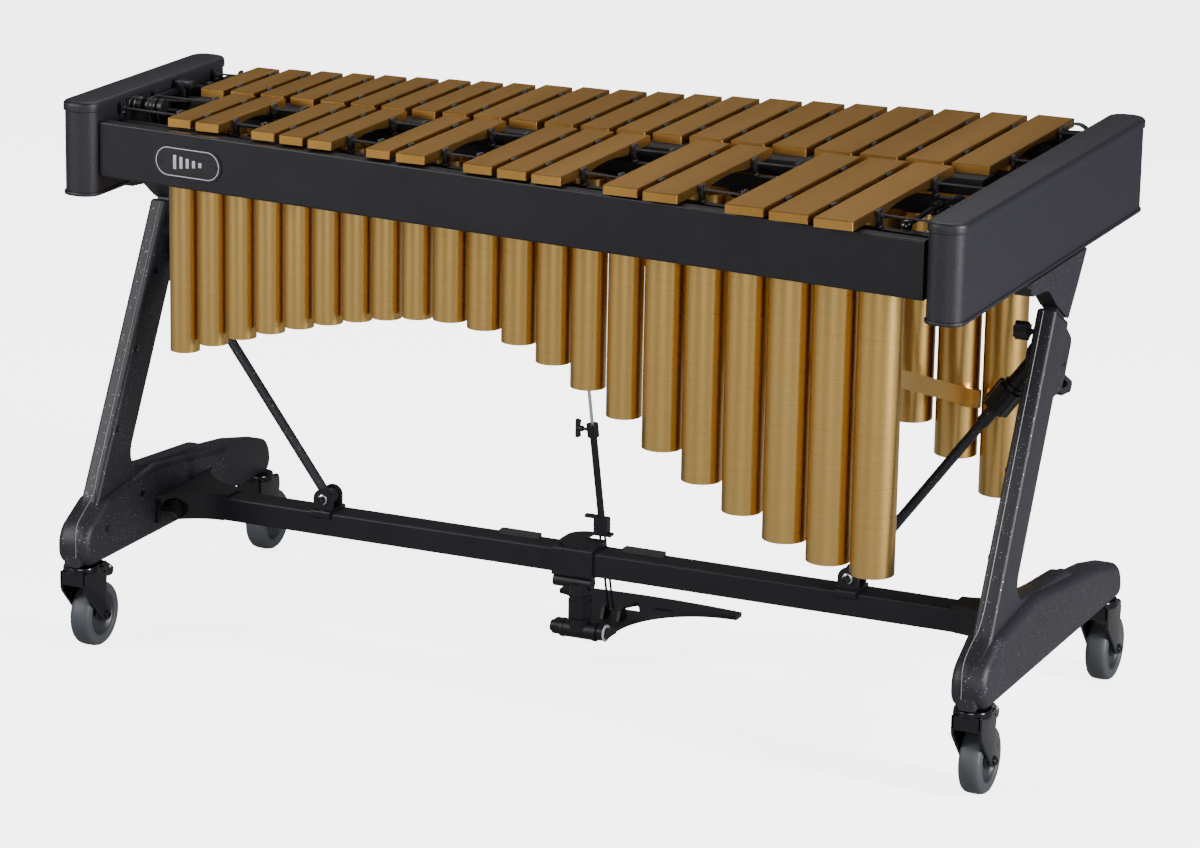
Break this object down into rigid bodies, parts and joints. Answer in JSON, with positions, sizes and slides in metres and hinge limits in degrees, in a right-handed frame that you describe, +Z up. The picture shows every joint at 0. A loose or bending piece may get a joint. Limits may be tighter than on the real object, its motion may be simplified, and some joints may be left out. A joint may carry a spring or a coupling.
{
  "type": "vibraphone",
  "caption": "Vibraphone: two rows of gold tone bars over resonator tubes in a tapered black frame, on a leaning-leg wheeled stand with a damper pedal.",
  "frame": {"origin": "on the floor, below the middle of the overall size", "axes": "+X towards the low notes (wide end), -Y towards the audience, +Z up"},
  "size_m": [1.482, 0.8, 0.856],
  "materials": {
    "cast_black": "charcoal powder coat with fine sparkle",
    "satin_black": "smooth satin black paint",
    "panel_black": "charcoal, fine leather grain",
    "plastic_black": "black moulded plastic",
    "gloss_black": "glossy black",
    "bar_gold": "matte gold anodised",
    "tube_gold": "satin brushed gold anodised",
    "steel": "bright zinc plated",
    "rubber_black": "black rubber",
    "tyre_grey": "grey soft tread on a black hub",
    "felt_black": "black wool felt",
    "cord_black": "black braided cord"
  },
  "bodies": {
    "stand": {"low_leg": "cast_black", "high_leg": "cast_black", "crossbar": "satin_black", "crossbar_sleeve": "satin_black", "crossbar_end_brackets": "satin_black", "crossbar_pads": "rubber_black", "brace_brackets": "satin_black", "brace_rods": "cast_black", "brace_sleeves": "satin_black", "lever_housings": "cast_black", "leg_bolts": "steel", "pedal_post": "satin_black"},
    "frame": {"front_rail": "satin_black", "rear_rail": "satin_black", "post_rails": "satin_black", "low_end_panel": "panel_black", "high_end_panel": "panel_black", "end_caps": "panel_black", "frame_brackets": "cast_black", "badge_plate": "plastic_black", "natural_bars": "bar_gold", "sharp_bars": "bar_gold", "bar_posts": "plastic_black", "bar_cords": "cord_black", "front_resonators": "tube_gold", "rear_resonators": "tube_gold", "tube_stoppers": "tube_gold", "resonator_rails": "tube_gold", "resonator_stay": "tube_gold", "shaft_bearings": "plastic_black", "motor": "plastic_black", "damper_springs": "steel"},
    "damper": {"damper_bar": "satin_black", "damper_felt": "felt_black"},
    "damper_rod": {"damper_rod": "steel"},
    "damper_tube": {"damper_tube": "satin_black", "pedal_links": "satin_black"},
    "rod_screw": {"rod_wing_screw": "plastic_black"},
    "pedal": {"pedal_plate": "satin_black"},
    "front_fan": {"front_fans": "plastic_black"},
    "rear_fan": {"rear_fans": "plastic_black"},
    "motor_pulley": {"motor_pulley": "plastic_black"},
    "low_front_caster": {"low_front_yoke": "gloss_black"},
    "low_front_roller": {"low_front_wheel": "tyre_grey"},
    "low_front_lever": {"low_front_brake": "gloss_black"},
    "low_rear_caster": {"low_rear_yoke": "gloss_black"},
    "low_rear_roller": {"low_rear_wheel": "tyre_grey"},
    "low_release": {"low_height_lever": "satin_black"},
    "low_collar": {"low_brace_collar": "plastic_black"},
    "low_post_knob": {"low_leg_knob": "plastic_black"},
    "low_clamp_knob": {"low_bracket_knob": "plastic_black"},
    "high_front_caster": {"high_front_yoke": "gloss_black"},
    "high_front_roller": {"high_front_wheel": "tyre_grey"},
    "high_front_lever": {"high_front_brake": "gloss_black"},
    "high_rear_caster": {"high_rear_yoke": "gloss_black"},
    "high_rear_roller": {"high_rear_wheel": "tyre_grey"},
    "high_release": {"high_height_lever": "satin_black"},
    "high_collar": {"high_brace_collar": "plastic_black"},
    "high_post_knob": {"high_leg_knob": "plastic_black"},
    "high_clamp_knob": {"high_bracket_knob": "plastic_black"}
  },
  "joints": [
    {"name": "frame_height", "type": "slide", "parent": "stand", "child": "frame", "axis": [0, 0.4617, 0.887], "range_m": [0, 0.12]},
    {"name": "low_front_swivel", "type": "hinge", "parent": "stand", "child": "low_front_caster", "pos_m": [0.714, -0.25, 0.125], "axis": [0, 0, 1], "continuous": true},
    {"name": "low_front_roll", "type": "hinge", "parent": "low_front_caster", "child": "low_front_roller", "pos_m": [0.714, -0.213, 0.05], "axis": [1, 0, 0], "continuous": true},
    {"name": "low_front_brake_tilt", "type": "hinge", "parent": "low_front_caster", "child": "low_front_lever", "pos_m": [0.714, -0.221, 0.121], "axis": [1, 0, 0], "range_deg": [-12, 0]},
    {"name": "low_rear_swivel", "type": "hinge", "parent": "stand", "child": "low_rear_caster", "pos_m": [0.714, 0.305, 0.125], "axis": [0, 0, 1], "continuous": true},
    {"name": "low_rear_roll", "type": "hinge", "parent": "low_rear_caster", "child": "low_rear_roller", "pos_m": [0.714, 0.342, 0.05], "axis": [1, 0, 0], "continuous": true},
    {"name": "low_release_squeeze", "type": "hinge", "parent": "stand", "child": "low_release", "pos_m": [0.714, 0.044, 0.562], "axis": [1, 0, 0], "range_deg": [0, 14], "stiffness_Nm_per_rad": 0.4},
    {"name": "low_collar_turn", "type": "hinge", "parent": "stand", "child": "low_collar", "pos_m": [0.63958, 0.01, 0.49681], "axis": [0.5954, 0, 0.8034], "range_deg": [0, 360]},
    {"name": "low_post_knob_turn", "type": "hinge", "parent": "stand", "child": "low_post_knob", "pos_m": [0.669, 0.008, 0.614], "axis": [1, 0, 0], "range_deg": [0, 360]},
    {"name": "low_clamp_knob_turn", "type": "hinge", "parent": "stand", "child": "low_clamp_knob", "pos_m": [0.662, -0.047, 0.176], "axis": [1, 0, 0], "range_deg": [0, 360]},
    {"name": "high_front_swivel", "type": "hinge", "parent": "stand", "child": "high_front_caster", "pos_m": [-0.714, -0.25, 0.125], "axis": [0, 0, 1], "continuous": true},
    {"name": "high_front_roll", "type": "hinge", "parent": "high_front_caster", "child": "high_front_roller", "pos_m": [-0.714, -0.213, 0.05], "axis": [1, 0, 0], "continuous": true},
    {"name": "high_front_brake_tilt", "type": "hinge", "parent": "high_front_caster", "child": "high_front_lever", "pos_m": [-0.714, -0.221, 0.121], "axis": [1, 0, 0], "range_deg": [-12, 0]},
    {"name": "high_rear_swivel", "type": "hinge", "parent": "stand", "child": "high_rear_caster", "pos_m": [-0.714, 0.305, 0.125], "axis": [0, 0, 1], "continuous": true},
    {"name": "high_rear_roll", "type": "hinge", "parent": "high_rear_caster", "child": "high_rear_roller", "pos_m": [-0.714, 0.342, 0.05], "axis": [1, 0, 0], "continuous": true},
    {"name": "high_release_squeeze", "type": "hinge", "parent": "stand", "child": "high_release", "pos_m": [-0.714, 0.044, 0.562], "axis": [1, 0, 0], "range_deg": [0, 14], "stiffness_Nm_per_rad": 0.4},
    {"name": "high_collar_turn", "type": "hinge", "parent": "stand", "child": "high_collar", "pos_m": [-0.63958, 0.01, 0.49681], "axis": [-0.5954, 0, 0.8034], "range_deg": [0, 360]},
    {"name": "high_post_knob_turn", "type": "hinge", "parent": "stand", "child": "high_post_knob", "pos_m": [-0.669, 0.008, 0.614], "axis": [-1, 0, 0], "range_deg": [0, 360]},
    {"name": "high_clamp_knob_turn", "type": "hinge", "parent": "stand", "child": "high_clamp_knob", "pos_m": [-0.662, -0.047, 0.176], "axis": [-1, 0, 0], "range_deg": [0, 360]},
    {"name": "pedal_press", "type": "hinge", "parent": "stand", "child": "pedal", "pos_m": [0.002, -0.003, 0.07], "axis": [1, 0, 0], "range_deg": [-6, 0], "stiffness_Nm_per_rad": 8, "springref_deg": 14.32},
    {"name": "damper_drop", "type": "slide", "parent": "frame", "child": "damper", "axis": [0, 0, 1], "range_m": [-0.0095, 0], "deforming": ["damper_springs"]},
    {"name": "damper_rod_swing", "type": "hinge", "parent": "damper", "child": "damper_rod", "pos_m": [-0.028, -0.015, 0.799], "axis": [1, 0, 0], "range_deg": [-5.6, 0]},
    {"name": "rod_telescope", "type": "slide", "parent": "damper_rod", "child": "damper_tube", "axis": [0.0716, 0.1057, -0.9918], "range_m": [0, 0.108]},
    {"name": "rod_screw_turn", "type": "hinge", "parent": "damper_tube", "child": "rod_screw", "pos_m": [-0.01722, 0.03043, 0.37252], "axis": [1, 0, 0], "range_deg": [0, 360]},
    {"name": "front_fan_spin", "type": "hinge", "parent": "frame", "child": "front_fan", "pos_m": [0.5394, -0.20109, 0.79], "axis": [0.9991, -0.0414, 0], "continuous": true},
    {"name": "rear_fan_spin", "type": "hinge", "parent": "frame", "child": "rear_fan", "pos_m": [0.5855, 0.2, 0.79], "axis": [0.9914, 0.1307, 0], "continuous": true},
    {"name": "motor_pulley_spin", "type": "hinge", "parent": "frame", "child": "motor_pulley", "pos_m": [-0.628, -0.168, 0.836], "axis": [1, 0, 0], "continuous": true}
  ],
  "couplings": [
    {"joint": "damper_drop", "follows": "pedal_press", "m_per_rad": 0.087},
    {"joint": "damper_rod_swing", "follows": "frame_height", "rad_per_m": -0.8043},
    {"joint": "rod_telescope", "follows": "frame_height", "ratio": 0.86},
    {"joint": "front_fan_spin", "follows": "motor_pulley_spin", "ratio": 0.96},
    {"joint": "rear_fan_spin", "follows": "motor_pulley_spin", "ratio": 0.96}
  ]
}
